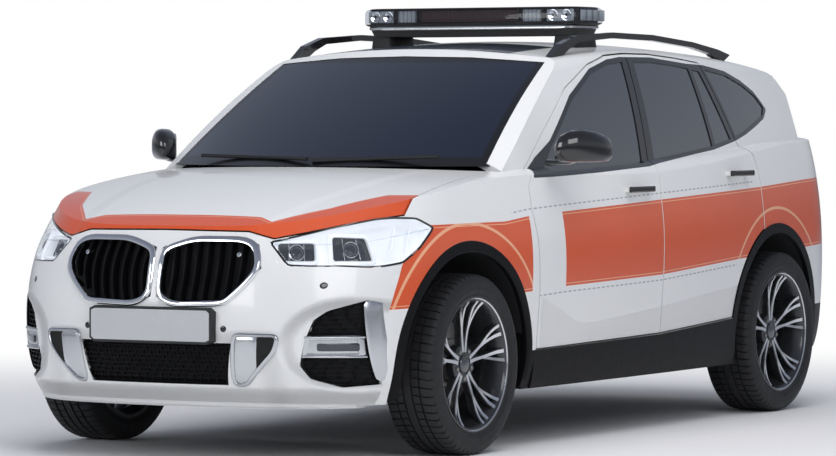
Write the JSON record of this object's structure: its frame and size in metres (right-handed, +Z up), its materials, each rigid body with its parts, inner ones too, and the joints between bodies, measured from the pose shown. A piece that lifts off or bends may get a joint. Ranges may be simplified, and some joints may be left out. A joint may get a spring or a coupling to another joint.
{
  "type": "police suv",
  "caption": "Compact high-bodied family car in emergency livery: hollow cabin, opening doors, bonnet and tailgate, steered and rolling wheels, roof rails and a low signal bar on the roof.",
  "frame": {"origin": "on the ground under the middle of the vehicle's length and width", "axes": "+Z up, -Y to the front of the vehicle, +X to its left side"},
  "size_m": [2.1, 4.4546, 1.7189],
  "materials": {
    "paint": "pearl white paint, gloss",
    "gloss_black": "gloss black",
    "matte_black": "grained black",
    "dark_glass": "tinted",
    "lamp_clear": "clear moulded lens",
    "lamp_red": "red lens",
    "bar_lens": "smoked grey lens",
    "satin_metal": "satin",
    "alloy": "dark painted with machined edges",
    "tyre": "matt",
    "chassis": "cast and coated",
    "pipe": "dull",
    "floor_paint": "underbody coating",
    "cabin_plastic": "soft grained",
    "seat_cloth": "woven"
  },
  "bodies": {
    "body": {"front_wings": "paint", "front_bumper": "paint", "headlights": "lamp_clear", "grilles": "satin_metal", "arch_cladding": "matte_black", "windscreen": "dark_glass", "quarter_glass": "dark_glass", "roof": "paint", "tail_lamps": "lamp_red", "rear_bumper": "paint", "rear_apron": "matte_black", "body_sides": "paint", "floor_pan": "floor_paint", "wheel_liners": "matte_black", "engine_block": "chassis", "front_suspension": "chassis", "rear_suspension": "chassis", "rear_springs": "chassis", "exhaust": "pipe", "dashboard": "cabin_plastic", "steering_wheel": "cabin_plastic", "front_seats": "seat_cloth", "rear_seat": "seat_cloth", "roof_rails": "gloss_black", "light_bar": "bar_lens", "wipers": "matte_black"},
    "front_left_door": {"front_left_door": "paint", "front_left_door_glass": "dark_glass", "left_mirror": "gloss_black"},
    "front_right_door": {"front_right_door": "paint", "front_right_door_glass": "dark_glass", "right_mirror": "gloss_black"},
    "rear_left_door": {"rear_left_door": "paint", "rear_left_door_glass": "dark_glass"},
    "rear_right_door": {"rear_right_door": "paint", "rear_right_door_glass": "dark_glass"},
    "bonnet": {"bonnet": "paint"},
    "tailgate": {"tailgate": "paint", "tailgate_glass": "dark_glass", "tailgate_lamps": "lamp_red"},
    "front_left_knuckle": {"front_left_knuckle": "chassis"},
    "front_right_knuckle": {"front_right_knuckle": "chassis"},
    "front_left_wheel": {"front_left_tyre": "tyre", "front_left_wheel": "alloy"},
    "front_right_wheel": {"front_right_tyre": "tyre", "front_right_wheel": "alloy"},
    "rear_left_wheel": {"rear_left_tyre": "tyre", "rear_left_wheel": "alloy"},
    "rear_right_wheel": {"rear_right_tyre": "tyre", "rear_right_wheel": "alloy"}
  },
  "joints": [
    {"name": "front_left_door_hinge", "type": "hinge", "parent": "body", "child": "front_left_door", "pos_m": [0.908, -0.855, 0.7], "axis": [0, 0, -1], "range_deg": [0, 65]},
    {"name": "front_right_door_hinge", "type": "hinge", "parent": "body", "child": "front_right_door", "pos_m": [-0.908, -0.855, 0.7], "axis": [0, 0, 1], "range_deg": [0, 65]},
    {"name": "rear_left_door_hinge", "type": "hinge", "parent": "body", "child": "rear_left_door", "pos_m": [0.908, 0.168, 0.7], "axis": [0, 0, -1], "range_deg": [0, 65]},
    {"name": "rear_right_door_hinge", "type": "hinge", "parent": "body", "child": "rear_right_door", "pos_m": [-0.908, 0.168, 0.7], "axis": [0, 0, 1], "range_deg": [0, 65]},
    {"name": "bonnet_hinge", "type": "hinge", "parent": "body", "child": "bonnet", "pos_m": [0, -0.88, 1.075], "axis": [-1, 0, 0], "range_deg": [0, 50]},
    {"name": "tailgate_hinge", "type": "hinge", "parent": "body", "child": "tailgate", "pos_m": [0, 1.606, 1.522], "axis": [1, 0, 0], "range_deg": [0, 80]},
    {"name": "front_left_steer", "type": "hinge", "parent": "body", "child": "front_left_knuckle", "pos_m": [0.7, -1.364, 0.342], "axis": [0, 0, 1], "range_deg": [-32, 32]},
    {"name": "front_right_steer", "type": "hinge", "parent": "body", "child": "front_right_knuckle", "pos_m": [-0.7, -1.364, 0.342], "axis": [0, 0, 1], "range_deg": [-32, 32]},
    {"name": "front_left_wheel_spin", "type": "hinge", "parent": "front_left_knuckle", "child": "front_left_wheel", "pos_m": [0.781, -1.364, 0.342], "axis": [1, 0, 0], "continuous": true},
    {"name": "front_right_wheel_spin", "type": "hinge", "parent": "front_right_knuckle", "child": "front_right_wheel", "pos_m": [-0.781, -1.364, 0.342], "axis": [1, 0, 0], "continuous": true},
    {"name": "rear_left_wheel_spin", "type": "hinge", "parent": "body", "child": "rear_left_wheel", "pos_m": [0.781, 1.306, 0.342], "axis": [1, 0, 0], "continuous": true},
    {"name": "rear_right_wheel_spin", "type": "hinge", "parent": "body", "child": "rear_right_wheel", "pos_m": [-0.781, 1.306, 0.342], "axis": [1, 0, 0], "continuous": true}
  ],
  "couplings": [
    {"joint": "front_right_steer", "follows": "front_left_steer", "ratio": 1}
  ]
}
